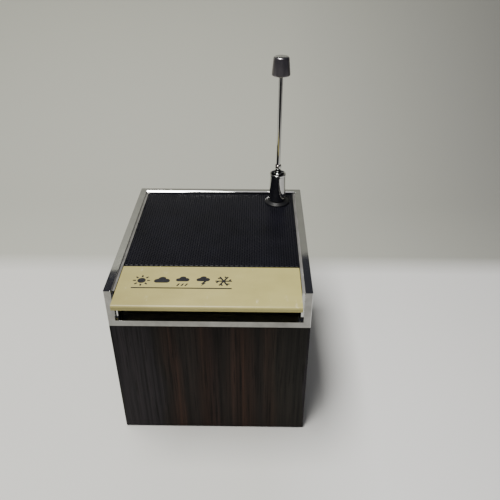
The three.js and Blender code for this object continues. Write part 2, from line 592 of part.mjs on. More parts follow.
// ---------------------------------------------------------------- wiring
const batteryRun = (y) => [[27.3, y, 12.5], [31.6, y, 12.5], [34.5, y, 20], [33, y, 31], [27.5, y, 35.6]];
add("battery_lead_red", wire(batteryRun(0.5), 0.6), WIRE_RED);
add("battery_lead_black", wire(batteryRun(3.5), 0.6), BLACK_PLASTIC);
const speakerRun = (y) => [[10.4, y, 76], [17, y, 73], [24, y, 63], [25, y, 50], [24.5, y, 38.6]];
add("speaker_lead_red", wire(speakerRun(8), 0.6), WIRE_RED);
add("speaker_lead_black", wire(speakerRun(11), 0.6), BLACK_PLASTIC);

model.position.z = LIFT;

export default model;
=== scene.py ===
# %% [markdown]
# # A cube weather-band radio
# The radio is a wood-grain box under a plated frame. On top are an ivory touch bar, a black speaker grille
# and a telescopic antenna. Everything that follows is hung on that frame.

# %% Load the fixed frame
from math import cos, pi, radians, sin, tau

import bmesh
import bpy
from mathutils import Matrix, Vector


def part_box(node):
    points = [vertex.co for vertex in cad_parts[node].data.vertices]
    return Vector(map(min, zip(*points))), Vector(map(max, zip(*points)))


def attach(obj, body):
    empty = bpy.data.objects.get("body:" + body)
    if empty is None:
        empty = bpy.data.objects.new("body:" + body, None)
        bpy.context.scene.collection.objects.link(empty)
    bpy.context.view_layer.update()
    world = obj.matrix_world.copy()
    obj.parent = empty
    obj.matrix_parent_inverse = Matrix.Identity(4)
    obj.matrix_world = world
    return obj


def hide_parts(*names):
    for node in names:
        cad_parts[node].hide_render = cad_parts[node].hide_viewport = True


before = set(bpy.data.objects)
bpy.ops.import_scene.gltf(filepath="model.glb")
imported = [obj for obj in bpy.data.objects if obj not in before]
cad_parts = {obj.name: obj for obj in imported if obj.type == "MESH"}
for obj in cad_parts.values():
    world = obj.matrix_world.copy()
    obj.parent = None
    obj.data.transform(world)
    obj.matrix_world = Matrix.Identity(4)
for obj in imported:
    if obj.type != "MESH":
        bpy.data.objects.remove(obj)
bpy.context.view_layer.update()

# %% [markdown]
# ## Millimetres
# A radio is drawn in millimetres and Blender works in metres. One constant keeps the numbers below
# readable, and a few edges are read from the frame, so that no place is guessed twice.

# %% Measure the frame
MM = 0.001
rail_low, rail_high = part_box("chrome_top_frame")
grille_low, grille_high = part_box("speaker_grille")
bar_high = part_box("touch_bar")[1]
sleeve_low, sleeve_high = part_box("cabinet_sleeve")
FACE = bar_high[2]
print("rails", round(rail_high[2] / MM, 1), "mm high, grille face", round(FACE / MM, 1), "mm")

# %% [markdown]
# ## Rounded copies of the machined shapes
# Real mouldings and castings never have knife edges: a fraction of a millimetre of rounding is what catches
# the light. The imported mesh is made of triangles, so a copy is cleaned first: flat neighbours are merged
# into single faces, and then a Bevel modifier rounds what is left of the sharp edges. The copy stands for
# its node.

# %% Make a rounded copy
def rounded(node, radius, body, name=None, segments=3, angle=35):
    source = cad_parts[node].data
    sheet = bmesh.new()
    sheet.from_mesh(source)
    bmesh.ops.remove_doubles(sheet, verts=sheet.verts, dist=2e-6)
    bmesh.ops.dissolve_limit(sheet, angle_limit=radians(1), verts=sheet.verts, edges=sheet.edges)
    mesh = bpy.data.meshes.new(name or node + "_rounded")
    sheet.to_mesh(mesh)
    sheet.free()
    piece = bpy.data.objects.new(mesh.name, mesh)
    bpy.context.collection.objects.link(piece)
    mesh.shade_smooth()
    mesh.set_sharp_from_angle(angle=radians(angle))
    soften(piece, radius, segments, angle)
    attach(piece, body)
    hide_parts(node)
    return piece


def soften(piece, radius, segments=3, angle=35):
    edge = piece.modifiers.new("rounded edges", "BEVEL")
    edge.width = radius
    edge.segments = segments
    edge.limit_method = "ANGLE"
    edge.angle_limit = radians(angle)
    edge.harden_normals = True
    edge.miter_outer = "MITER_ARC"


# %% [markdown]
# ## Pieces drawn as outlines
# Thin printed shapes and small strips start as flat outlines, drawn as lists of points. The outline becomes
# one face, and the face is pushed out to the piece's thickness.

# %% Make a piece from outlines
def new_piece(name, sheet, body, finish, smooth=False):
    mesh = bpy.data.meshes.new(name)
    bmesh.ops.recalc_face_normals(sheet, faces=sheet.faces)
    sheet.to_mesh(mesh)
    sheet.free()
    piece = bpy.data.objects.new(name, mesh)
    bpy.context.collection.objects.link(piece)
    mesh.materials.append(finish)
    if smooth:
        mesh.shade_smooth()
        mesh.set_sharp_from_angle(angle=radians(35))
    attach(piece, body)
    return piece


def pushed_out(name, outlines, push, body, finish):
    sheet = bmesh.new()
    for outline in outlines:
        face = sheet.faces.new([sheet.verts.new(point) for point in outline])
        raised = bmesh.ops.extrude_face_region(sheet, geom=[face], use_keep_orig=True)
        corners = [v for v in raised["geom"] if isinstance(v, bmesh.types.BMVert)]
        bmesh.ops.translate(sheet, verts=corners, vec=push)
    return new_piece(name, sheet, body, finish)


# %% [markdown]
# ## Turned pieces
# An antenna is all turned metal, so one profile of (radius, height) points spun about the upright axis
# makes each piece. A profile that starts and ends on the axis gives a solid bar, and one that closes on
# itself gives a tube.

# %% Turn a profile on the lathe
def turned(name, profile, centre, body, finish, sides=72, closed=True):
    sheet = bmesh.new()
    rows = []
    for radius, height in profile:
        if radius < 1e-6:
            rows.append([sheet.verts.new((centre[0], centre[1], height * MM))])
            continue
        rows.append([sheet.verts.new((centre[0] + radius * MM * cos(tau * i / sides),
                                      centre[1] + radius * MM * sin(tau * i / sides), height * MM))
                     for i in range(sides)])
    pairs = list(zip(rows, rows[1:] + (rows[:1] if closed else [])))
    for low, high in pairs:
        for i in range(sides):
            ring = [low[i % len(low)], low[(i + 1) % len(low)],
                    high[(i + 1) % len(high)], high[i % len(high)]]
            corners = list(dict.fromkeys(ring))
            if len(corners) > 2:
                sheet.faces.new(corners)
    return new_piece(name, sheet, body, finish, smooth=True)


# %% [markdown]
# ## Finishes
# Every finish is a small recipe of nodes on Blender's Principled shader. The pattern is read from object
# coordinates, which are metres in the radio's own frame, so a grain or a pore has a real size.

# %% Start a finish
def start_finish(name, colour, roughness, metallic=0.0, coat=0.0):
    finish = bpy.data.materials.new(name)
    finish.use_nodes = True
    shader = finish.node_tree.nodes["Principled BSDF"]
    shader.inputs["Base Color"].default_value = (*colour, 1)
    shader.inputs["Roughness"].default_value = roughness
    shader.inputs["Metallic"].default_value = metallic
    shader.inputs["Coat Weight"].default_value = coat
    return finish


def step(finish, kind, **settings):
    made = finish.node_tree.nodes.new("ShaderNode" + kind)
    for key, value in settings.items():
        if key in made.inputs:
            made.inputs[key].default_value = value
        else:
            setattr(made, key, value)
    return made


def join(finish, source, target):
    finish.node_tree.links.new(source, target)
    return source


def shader_of(finish):
    return finish.node_tree.nodes["Principled BSDF"]


# %% [markdown]
# ## Patterns that the finishes share
# Grain, mottling, haze and wear are all uneven in the same way: soft noise, stretched one way or another. A
# few small helpers make that noise, spread it over a range of values, or lay colours along it.

# %% Patterns that the finishes share
def position(finish):
    """Sockets X, Y and Z: where a point lies in the radio's own frame, in metres."""
    place = step(finish, "TexCoord")
    parts = step(finish, "SeparateXYZ")
    join(finish, place.outputs["Object"], parts.inputs["Vector"])
    return parts.outputs


def cloudy(finish, stretch, detail=4.0, rough=0.55, shift=(0, 0, 0)):
    """Soft noise. stretch is how many cells there are in a metre along X, Y and Z."""
    place = step(finish, "TexCoord")
    scaled = step(finish, "Mapping", Scale=stretch, Location=shift)
    noise = step(finish, "TexNoise", Scale=1.0, Detail=detail, Roughness=rough)
    join(finish, place.outputs["Object"], scaled.inputs["Vector"])
    join(finish, scaled.outputs["Vector"], noise.inputs["Vector"])
    return noise.outputs["Fac"]


def tinted(finish, factor, stops):
    """Colours along a pattern: stops are (position, (red, green, blue))."""
    ramp = step(finish, "ValToRGB")
    marks = ramp.color_ramp.elements
    while len(marks) < len(stops):
        marks.new(0.5)
    for mark, (position, colour) in zip(marks, stops):
        mark.position = position
        mark.color = (*colour, 1)
    join(finish, factor, ramp.inputs["Fac"])
    return ramp.outputs["Color"]


def ranged(finish, factor, low, high, start=0.0, end=1.0):
    """A pattern's values from start to end, spread over low to high."""
    spread = step(finish, "MapRange")
    for key, value in zip(("From Min", "From Max", "To Min", "To Max"), (start, end, low, high)):
        spread.inputs[key].default_value = value
    join(finish, factor, spread.inputs["Value"])
    return spread.outputs["Result"]


def blended(finish, factor, first, second, kind="MIX"):
    mix = step(finish, "Mix", data_type="RGBA", blend_type=kind)
    if isinstance(factor, float):
        mix.inputs["Factor"].default_value = factor
    else:
        join(finish, factor, mix.inputs["Factor"])
    for source, name in ((first, "A"), (second, "B")):
        socket = [s for s in mix.inputs if s.name == name and s.type == "RGBA"][0]
        if isinstance(source, tuple):
            socket.default_value = (*source, 1)
        else:
            join(finish, source, socket)
    return [s for s in mix.outputs if s.type == "RGBA"][0]


def relief(finish, factor, depth):
    """Bumps of a real depth in metres, from a pattern."""
    bump = step(finish, "Bump", Distance=depth, Strength=1.0)
    join(finish, factor, bump.inputs["Height"])
    join(finish, bump.outputs["Normal"], shader_of(finish).inputs["Normal"])


def paint(finish, colour=None, roughness=None):
    if colour is not None:
        join(finish, colour, shader_of(finish).inputs["Base Color"])
    if roughness is not None:
        join(finish, roughness, shader_of(finish).inputs["Roughness"])


# %% [markdown]
# ## Wood-grain vinyl
# The cabinet is chipboard wrapped in printed vinyl: dark rosewood with upright grain. The print has broad
# bands of red-brown and near-black that run up the walls, so the bands are laid out by the distance round
# the box, x + y, and a slow noise bends them a little. One bluish-black band, at the left of the front, is
# not print but a painted reflection of the pale paper. Fine streaks and short dark pores are noise
# stretched along Z.

# %% Wood-grain vinyl
GRAIN_REPEAT = 0.095  # one run of bands is as wide as one wall of the cabinet


def make_wood_grain():
    finish = start_finish("rosewood_vinyl", (0.02, 0.012, 0.009), 0.5)
    shader_of(finish).inputs["Specular IOR Level"].default_value = 0.1
    where = position(finish)
    around = step(finish, "Math", operation="ADD")
    join(finish, where["X"], around.inputs[0])
    join(finish, where["Y"], around.inputs[1])
    bend = ranged(finish, cloudy(finish, (30, 30, 12), detail=2.0), 0.0904, 0.0984, 0.25, 0.75)
    shifted = step(finish, "Math", operation="ADD")
    join(finish, around.outputs[0], shifted.inputs[0])
    join(finish, bend, shifted.inputs[1])
    turns = step(finish, "Math", operation="MULTIPLY")
    join(finish, shifted.outputs[0], turns.inputs[0])
    turns.inputs[1].default_value = 1 / GRAIN_REPEAT
    repeat = step(finish, "Math", operation="FRACT")
    join(finish, turns.outputs[0], repeat.inputs[0])
    # The first, bluish-black colour is a painted reflection of the pale paper; it falls on the left fifth of
    # the front face.
    painted_reflection_blue, black, brown = (0.0158, 0.0138, 0.0165), (0.0135, 0.0102, 0.0088), (0.028, 0.0142, 0.0096)
    broad = tinted(finish, repeat.outputs[0], [
        (0.0, painted_reflection_blue), (0.2, painted_reflection_blue), (0.24, black), (0.3, brown), (0.34, black), (0.39, black),
        (0.45, brown), (0.5, (0.019, 0.0105, 0.009)), (0.57, black), (0.68, brown), (0.75, black),
        (0.8, (0.02, 0.0125, 0.009)), (0.86, (0.0125, 0.0108, 0.0086)), (1.0, (0.0122, 0.0113, 0.0095))])
    streaks = cloudy(finish, (620, 620, 9), detail=5.0, rough=0.6)
    fine = tinted(finish, streaks, [
        (0.34, (0.4, 0.38, 0.38)), (0.52, (0.98, 0.95, 0.94)), (0.7, (1.6, 1.45, 1.4))])
    wood = blended(finish, 1.0, broad, fine, "MULTIPLY")
    pores = cloudy(finish, (1500, 1500, 40), detail=2.0)
    holes = tinted(finish, pores, [(0.36, (0.38, 0.35, 0.34)), (0.44, (1, 1, 1))])
    wood = blended(finish, 1.0, wood, holes, "MULTIPLY")
    paint(finish, wood, ranged(finish, streaks, 0.56, 0.42))
    relief(finish, streaks, 0.00003)
    return finish


wood_grain = make_wood_grain()

# %% [markdown]
# ## Bright plating
# The frame and the antenna's foot are nickel-chrome plate. Plate is a mirror, so most of its look is what
# it reflects. The finish only adds what years of handling leave: a faint haze that comes and goes, and fine
# hairlines.

# %% Chrome
def make_chrome(name, colour, roughness, haze, stain=0.1):
    finish = start_finish(name, colour, roughness, metallic=1.0)
    patches = cloudy(finish, (160, 160, 160), detail=5.0)
    hairs = cloudy(finish, (300, 4200, 300), detail=3.0)
    tone = tinted(finish, patches, [(0.3, tuple(c * (1 - stain) for c in colour)), (0.7, colour)])
    both = step(finish, "Math", operation="MULTIPLY")
    join(finish, patches, both.inputs[0])
    join(finish, hairs, both.inputs[1])
    paint(finish, tone, ranged(finish, both.outputs[0], roughness, roughness + haze, 0.15, 0.45))
    relief(finish, hairs, 0.0000015)
    return finish


chrome = make_chrome("bright_chrome", (0.52, 0.52, 0.51), 0.035, 0.05)
worn_plate = make_chrome("worn_chrome", (0.33, 0.325, 0.31), 0.07, 0.12, stain=0.35)
dark_plate = make_chrome("gunmetal_plate", (0.24, 0.225, 0.24), 0.3, 0.1)
dull_plate = make_chrome("dull_plate", (0.5, 0.49, 0.47), 0.38, 0.15)
steel = make_chrome("zinc_plated_steel", (0.5, 0.5, 0.47), 0.3, 0.15)
brass = make_chrome("turned_brass", (0.62, 0.45, 0.18), 0.25, 0.15)
can_tin = make_chrome("drawn_can", (0.56, 0.57, 0.57), 0.28, 0.2)

# %% [markdown]
# ## Ivory plastic
# The touch bar is moulded ABS that has warmed with age. Its skin is satin, slightly mottled, with small
# scuffs where fingers press it.

# %% Ivory plastic
def make_ivory():
    finish = start_finish("ivory_plastic", (0.5, 0.44, 0.26), 0.38)
    shader_of(finish).inputs["Specular IOR Level"].default_value = 0.35
    mottle = cloudy(finish, (55, 90, 60), detail=6.0)
    orange_peel = cloudy(finish, (1500, 1500, 1500), detail=2.0)
    scuffs = cloudy(finish, (260, 75, 260), detail=7.0, rough=0.75, shift=(7, 3, 1))
    tone = tinted(finish, mottle, [
        (0.3, (0.37, 0.322, 0.124)), (0.55, (0.41, 0.36, 0.14)), (0.8, (0.435, 0.386, 0.16))])
    worn = tinted(finish, scuffs, [(0.61, (0, 0, 0)), (0.72, (0.6, 0.6, 0.6))])
    across = position(finish)["X"]
    # Painted shade: the bar darkens towards its left end.
    painted_shade_left = tinted(finish, ranged(finish, across, 0.0, 1.0, -0.043, 0.043), [
        (0.0, (0.8, 0.8, 0.8)), (0.4, (0.98, 0.98, 1.0)), (1.0, (1.0, 1.02, 0.98))])
    tone = blended(finish, 1.0, tone, painted_shade_left, "MULTIPLY")
    paint(finish, blended(finish, worn, tone, (0.62, 0.58, 0.4)), ranged(finish, mottle, 0.44, 0.32))
    relief(finish, orange_peel, 0.000004)
    return finish


ivory = make_ivory()

# %% [markdown]
# ## Black finishes
# The grille is painted steel, the recess, deck and base are moulded black plastic with a fine spark-eroded
# texture, and the feet are rubber. All three are black: they differ in gloss and in the size of their
# texture.

# %% Painted metal, moulded plastic and rubber
def make_black(name, colour, gloss, texture, depth, shine=0.5):
    finish = start_finish(name, colour, gloss)
    shader_of(finish).inputs["Specular IOR Level"].default_value = shine
    patches = cloudy(finish, (70, 70, 70), detail=5.0)
    fine = cloudy(finish, (texture,) * 3, detail=3.0)
    tone = tinted(finish, patches, [
        (0.3, tuple(c * 0.75 for c in colour)), (0.75, tuple(c * 1.35 for c in colour))])
    paint(finish, tone, ranged(finish, patches, gloss - 0.06, gloss + 0.08))
    relief(finish, fine, depth)
    return finish


black_paint = make_black("satin_black_paint", (0.0055, 0.0055, 0.0085), 0.36, 2400, 0.000003, 0.12)
black_plastic = make_black("moulded_black_plastic", (0.016, 0.0155, 0.014), 0.45, 3000, 0.000012)
rubber = make_black("black_rubber", (0.02, 0.02, 0.02), 0.8, 1800, 0.00001)
cone_paper = make_black("felted_paper", (0.03, 0.027, 0.024), 0.85, 2600, 0.00002)
ferrite = make_black("ground_ferrite", (0.05, 0.05, 0.055), 0.6, 1500, 0.000015)
glossy_black = make_black("glossy_black_plastic", (0.006, 0.006, 0.007), 0.4, 1200, 0.000002, 0.25)
battery_jacket = make_black("battery_jacket", (0.10, 0.11, 0.13), 0.35, 900, 0.000003)
red_wire = make_black("red_insulation", (0.35, 0.02, 0.015), 0.45, 1200, 0.000003)
blue_sleeve = make_black("blue_shrink_sleeve", (0.025, 0.06, 0.18), 0.3, 1200, 0.000003)
print("finishes:", len(bpy.data.materials))

# %% [markdown]
# ## Circuit board and cloth
# Inside, the board is brown phenolic laminate and the dust cloth is an open black weave. Two crossed wave
# patterns make the weave's threads.

# %% Laminate and woven cloth
def make_laminate():
    finish = start_finish("phenolic_laminate", (0.25, 0.11, 0.035), 0.5)
    fibres = cloudy(finish, (900, 260, 300), detail=4.0)
    tone = tinted(finish, fibres, [(0.3, (0.19, 0.08, 0.025)), (0.7, (0.3, 0.14, 0.05))])
    paint(finish, tone, ranged(finish, fibres, 0.4, 0.6))
    return finish


def make_cloth():
    finish = start_finish("woven_dust_cloth", (0.006, 0.006, 0.006), 0.95)
    place = step(finish, "TexCoord")
    threads = []
    for direction in ("X", "Y"):
        wave = step(finish, "TexWave", bands_direction=direction, Scale=600.0, Distortion=0.6)
        join(finish, place.outputs["Object"], wave.inputs["Vector"])
        threads.append(wave.outputs["Fac"])
    crossed = step(finish, "Math", operation="MAXIMUM")
    join(finish, threads[0], crossed.inputs[0])
    join(finish, threads[1], crossed.inputs[1])
    paint(finish, tinted(finish, crossed.outputs[0], [
        (0.2, (0.002, 0.002, 0.002)), (0.9, (0.011, 0.011, 0.011))]))
    relief(finish, crossed.outputs[0], 0.00006)
    return finish


laminate = make_laminate()
dust_cloth = make_cloth()

# %% [markdown]
# ## The wood-grain sleeve
# The sleeve is one wrapped tube. Thin vinyl is folded tightly round the board, so its corners stay crisp
# and only catch a hair of light.

# %% Wood-grain sleeve
sleeve = rounded("cabinet_sleeve", 0.12 * MM, "cabinet", "wood_grain_sleeve")
sleeve.data.materials.append(wood_grain)
print("sleeve", [round((b - a) / MM, 1) for a, b in zip(sleeve_low, sleeve_high)], "mm")

# %% [markdown]
# ## The plated frame
# The frame is a die casting polished before plating, so its edges are softer than the box's. The sloped
# cove along the inside of the rear rail throws back a bright line. The front faces are worn and smudged by
# hands. The two low lips beside the grille were never polished, so they get a duller plate. Both are picked
# out by where they face.

# %% Plated frame
plated_frame = rounded("chrome_top_frame", 0.35 * MM, "cabinet", "plated_frame")
for plate in (chrome, dull_plate, worn_plate):
    plated_frame.data.materials.append(plate)
for face in plated_frame.data.polygons:
    on_lip = abs(face.center.z - FACE) < 0.05 * MM and abs(face.center.x) > bar_high[0]
    if on_lip and face.normal.z > 0.9:
        face.material_index = 1
    elif face.normal.y < -0.9 and face.center.y < rail_low[1] + MM:
        face.material_index = 2
print("duller faces:", sum(face.material_index > 0 for face in plated_frame.data.polygons))

# %% [markdown]
# ## The recess under the bar
# A black moulded wall closes the space under the bar. Only its front is ever seen, and it stays nearly
# black.

# %% Recess, deck and base
mouldings = {"front_recess_panel": 0.2, "top_deck": 0.2, "base_plate": 0.25, "battery_door": 0.2,
             "rear_control_panel": 0.25, "adapter_jack": 0.15}
for node, radius in mouldings.items():
    body = "door" if node == "battery_door" else "cabinet"
    moulding = rounded(node, radius * MM, body)
    moulding.data.materials.append(black_plastic)
print("black mouldings made")

# %% [markdown]
# ## The touch bar
# The bar overhangs the front, so that a palm can drop on it. Its top edges have the soft radius of a
# moulding that was meant to be touched.

# %% Touch bar
touch_bar = rounded("touch_bar", 0.3 * MM, "bar", "ivory_touch_bar")
touch_bar.data.materials.append(ivory)

# %% [markdown]
# ## Weather signs on the bar
# The bar is printed in dark ink. A plain row of weather signs does that job here: sun, cloud, rain, storm
# and snow, over a thin rule. Each is an outline pushed out to the thickness of a screen print.

# %% Draw the signs
def arc(cx, cy, radius, start, end, count=14):
    turns = [start + (end - start) * i / count for i in range(count + 1)]
    return [(cx + radius * cos(turn), cy + radius * sin(turn)) for turn in turns]


def cloud_outline(cx, cy, size):
    return [(cx + size * x, cy + size * y) for x, y in
            arc(0.52, -0.02, 0.38, -pi / 2, 0.6 * pi) + arc(0.02, 0.22, 0.5, 0.22 * pi, 0.92 * pi)
            + arc(-0.58, -0.06, 0.34, 0.62 * pi, 1.5 * pi)]


def sun_outlines(cx, cy, size):
    rays = []
    for i in range(8):
        across = Vector((-sin(tau * i / 8), cos(tau * i / 8)))
        along = Vector((cos(tau * i / 8), sin(tau * i / 8)))
        corners = ((0.64, -0.12), (1.0, -0.08), (1.0, 0.08), (0.64, 0.12))
        rays.append([tuple(Vector((cx, cy)) + size * (along * a + across * b)) for a, b in corners])
    return [arc(cx, cy, 0.48 * size, 0, tau, 28)[:-1]] + rays


def rain_outlines(cx, cy, size):
    drops = [[(cx + size * (x + dx), cy + size * (dy - 0.62)) for dx, dy in
              ((0.08, 0.1), (0.28, 0.1), (0.06, -0.36), (-0.14, -0.36))] for x in (-0.5, -0.02, 0.42)]
    return [cloud_outline(cx, cy + 0.22 * size, 0.85 * size)] + drops


def storm_outlines(cx, cy, size):
    bolt = ((0.12, 0.1), (0.4, 0.1), (0.16, -0.26), (0.36, -0.26),
            (-0.2, -0.84), (-0.02, -0.4), (-0.22, -0.4))
    return [cloud_outline(cx, cy + 0.28 * size, 0.85 * size),
            [(cx + size * x, cy + size * (y - 0.14)) for x, y in bolt]]


def snow_outlines(cx, cy, size):
    arm = ((0.95, -0.1), (0.95, 0.1), (0.78, 0.1), (0.89, 0.3), (0.72, 0.38), (0.55, 0.1), (0.18, 0.1))
    star = []
    for i in range(6):
        turn = Matrix.Rotation(tau * i / 6, 2)
        for point in arm:
            star.append(tuple(Vector((cx, cy)) + size * (turn @ Vector(point))))
    return [star]


# %% [markdown]
# ## Printing the row
# Screen ink is thin and slightly glossy, and it wears unevenly. The signs stand in one row at an even
# spacing, with the rule below them. Each lies a hair above the plastic, so that the two faces never fight.

# %% Print the signs
ink = start_finish("printed_ink", (0.008, 0.008, 0.012), 0.35)
ink_patches = cloudy(ink, (900, 900, 900), detail=3.0)
paint(ink, tinted(ink, ink_patches, [(0.3, (0.006, 0.006, 0.009)), (0.8, (0.016, 0.016, 0.02))]),
      ranged(ink, ink_patches, 0.28, 0.45))

SIGN = 4.1
FIRST_SIGN, SIGN_STEP = -31.8, 9.6
PRINT_GAP, PRINT = 0.002 * MM, 0.02 * MM
sign_row = rail_low[1] + 10.3 * MM
signs = {"sun": sun_outlines, "cloud": lambda x, y, s: [cloud_outline(x, y, s)], "rain": rain_outlines,
         "storm": storm_outlines, "snow": snow_outlines}
for place, (sign, outlines) in enumerate(signs.items()):
    x = FIRST_SIGN + SIGN_STEP * place
    drawn = [[(px * MM, sign_row + py * MM, FACE + PRINT_GAP) for px, py in outline]
             for outline in outlines(x, 0, SIGN)]
    printed = pushed_out("printed_" + sign, drawn, (0, 0, PRINT), "bar", ink)
rule = [(-35.8, -6.0), (10.6, -6.0), (10.6, -5.2), (-35.8, -5.2)]
printed_rule = pushed_out("printed_rule", [[(x * MM, sign_row + y * MM, FACE + PRINT_GAP) for x, y in rule]],
                          (0, 0, PRINT), "bar", ink)
print("signs:", ", ".join(signs))

# %% [markdown]
# ## The perforated grille
# The grille is a sheet punched with small holes in a diagonal pattern, then folded down along its front
# edge. A texture would look flat from the side, so the holes are real. The sheet is laid out flat in cells,
# one hole to a cell. Each cell's edge points match its neighbours', which are half a cell further along.
# The flat sheet is then bent over the fold, and a Solidify modifier gives it the metal's thickness.

# %% Lay out the perforated sheet
COLUMN = 1.22 * MM
ROW = 1.41 * MM
HOLE = 0.37 * MM
FOLD = 1.0 * MM
SHEET = 0.5 * MM
grille_width = grille_high[0] - grille_low[0]
flat_length = grille_high[1] - grille_low[1] - FOLD
bent_length = FOLD * pi / 2
skirt_length = (grille_high[2] - grille_low[2]) - FOLD
antenna_low, antenna_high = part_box("antenna_base_sleeve")
antenna = ((antenna_low[0] + antenna_high[0]) / 2, (antenna_low[1] + antenna_high[1]) / 2)


def bent(x, run):
    """A point of the flat sheet, run metres forward of its rear edge, on the folded sheet's outer face."""
    if run <= flat_length:
        return (x, grille_high[1] - run, FACE)
    turn = min((run - flat_length) / FOLD, pi / 2)
    y = grille_low[1] + FOLD - FOLD * sin(turn)
    z = FACE - FOLD + FOLD * cos(turn)
    return (x, y, z - max(0.0, run - flat_length - bent_length))


def make_perforated_sheet():
    sheet = bmesh.new()
    seen = {}

    def corner(x, run):
        key = (round(x / MM, 3), round(run / MM, 3))
        if key not in seen:
            seen[key] = sheet.verts.new(bent(x, run))
        return seen[key]

    columns = int(grille_width / COLUMN) // 2
    last = flat_length + bent_length + skirt_length
    rows = int(last / ROW) + 2
    edge = [(1, 0), (1, 2), (0, 2), (-1, 2), (-1, 0), (-1, -2), (0, -2), (1, -2)]
    for column in range(-columns, columns + 1):
        for row in range(-1, rows):
            x = column * COLUMN
            run = (row + (0.5 if column % 2 else 0.0)) * ROW + 0.35 * MM
            if run < -0.01 * MM or run > last:
                continue
            place = bent(x, run)
            if (Vector(place[:2]) - Vector(antenna)).length < 5.9 * MM:
                continue
            rim = []
            for i, (ex, er) in enumerate(edge):
                outer = corner(x + ex * COLUMN / 2, min(max(run + er * ROW / 4, 0.0), last))
                hx, hr = HOLE * cos(tau * i / 8), HOLE * sin(tau * i / 8)
                inner = sheet.verts.new(bent(x + hx, min(max(run + hr, 0.0), last)))
                rim.append((outer, inner))
            for (outer, inner), (next_outer, next_inner) in zip(rim, rim[1:] + rim[:1]):
                corners = list(dict.fromkeys([outer, next_outer, next_inner, inner]))
                if len(corners) > 2 and not sheet.faces.get(corners):
                    sheet.faces.new(corners)
    for side in (-1, 1):
        inside, outside = side * (columns + 0.5) * COLUMN, side * grille_width / 2
        stops = [i * last / 90 for i in range(91)]
        for start, end in zip(stops, stops[1:]):
            sheet.faces.new([sheet.verts.new(bent(x, run)) for x, run in
                             ((inside, start), (outside, start), (outside, end), (inside, end))])
    loose = [v for v in sheet.verts if not v.link_faces]
    bmesh.ops.delete(sheet, geom=loose, context="VERTS")
    return sheet


perforated = new_piece("perforated_grille", make_perforated_sheet(), "cabinet", black_paint)
if perforated.data.polygons[0].normal.z < 0:
    perforated.data.flip_normals()
thickness = perforated.modifiers.new("sheet metal", "SOLIDIFY")
thickness.thickness = SHEET
thickness.offset = -1
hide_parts("speaker_grille")
print("grille faces:", len(perforated.data.polygons))

# %% [markdown]
# ## The dust cloth
# Behind the holes a black cloth keeps dust off the cone. It is a sheet stretched over the deck, so it is
# made as one thin grid.

# %% Dust cloth
cloth_low, cloth_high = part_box("grille_cloth")


def make_cloth_sheet():
    sheet = bmesh.new()
    across, along = 42, 37
    rows = [[sheet.verts.new((cloth_low[0] + (cloth_high[0] - cloth_low[0]) * i / across,
                              cloth_low[1] + (cloth_high[1] - cloth_low[1]) * j / along,
                              cloth_low[2] + 0.1 * MM))
             for i in range(across + 1)] for j in range(along + 1)]
    for low, high in zip(rows, rows[1:]):
        for i in range(across):
            middle = (low[i].co + high[i + 1].co) / 2
            if (middle.xy - Vector(antenna)).length > 6.2 * MM:
                sheet.faces.new((low[i], low[i + 1], high[i + 1], high[i]))
    bmesh.ops.delete(sheet, geom=[v for v in sheet.verts if not v.link_faces], context="VERTS")
    return sheet


cloth = new_piece("stretched_dust_cloth", make_cloth_sheet(), "cabinet", dust_cloth)
weave = cloth.modifiers.new("thread thickness", "SOLIDIFY")
weave.thickness = 0.2 * MM
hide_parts("grille_cloth")

# %% [markdown]
# ## The antenna
# From the grille up: a black washer, a plated sleeve that tapers to a rolled rim around a small cup, the
# ends of the telescopic sections standing in the cup, a thin rod, and a tapered cap with a bright domed
# top. The heights are read from the frame and the profiles are drawn between them.

# %% Antenna foot
grommet_low, grommet_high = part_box("antenna_grommet")
foot = grommet_high[2] / MM
washer_face = FACE / MM
washer = turned("antenna_washer", [
    (3.0, grommet_low[2] / MM), (5.2, grommet_low[2] / MM), (5.2, washer_face + 0.1),
    (7.05, washer_face + 0.1), (7.1, washer_face + 0.35), (6.95, washer_face + 0.7),
    (6.5, washer_face + 1.0), (5.6, washer_face + 1.3),
    (5.2, foot), (3.0, foot)], antenna, "cabinet", glossy_black)
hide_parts("antenna_grommet")

rim = antenna_high[2] / MM
start = antenna_low[2] / MM
taper = [(4.72 - 0.44 * t, start + 0.35 + (rim - 1.95 - start) * t) for t in (0, 0.25, 0.5, 0.75, 1)]
rolled = [(4.28 + 0.22 * sin(pi * t / 2), rim - 1.6 + 0.45 * t) for t in (0.33, 0.66, 1)]
bead = [(4.15 + 0.35 * cos(a), rim - 0.35 + 0.35 * sin(a)) for a in (pi * i / 10 for i in range(0, 9))]
cup = [(3.65, rim - 0.3), (3.5, rim - 0.7), (3.5, rim - 4.7), (3.3, rim - 5.1), (3.0, rim - 5.3)]
base_sleeve = turned("antenna_sleeve", [(3.0, start), (4.62, start), (4.72, start + 0.12)]
                     + taper + rolled + bead + cup, antenna, "cabinet", chrome)
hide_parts("antenna_base_sleeve")

# %% [markdown]
# ## Telescopic sections
# Each section is a thin plated tube that slides in the next. Its end is rolled in, so that the section
# inside can't pull out. The tubes take their radius and length from the frame, and only the crown is drawn
# here.

# %% Telescopic sections
def telescopic(node, name, body):
    low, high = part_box(node)
    outer = (high[0] - low[0]) / 2 / MM
    wall = 0.3
    bottom, top = low[2] / MM, high[2] / MM
    # The end of each tube is rolled in, so that the next section can't pull out.
    crown = [(outer, top - 1.7), (outer, top - 0.6), (outer - 0.12, top - 0.15), (outer - wall, top)]
    neck = [(outer - wall, bottom), (outer - 0.16, bottom), (outer - 0.16, top - 2.0)]
    section = turned(name, neck + crown, antenna, body, chrome, sides=48)
    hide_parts(node)
    return section


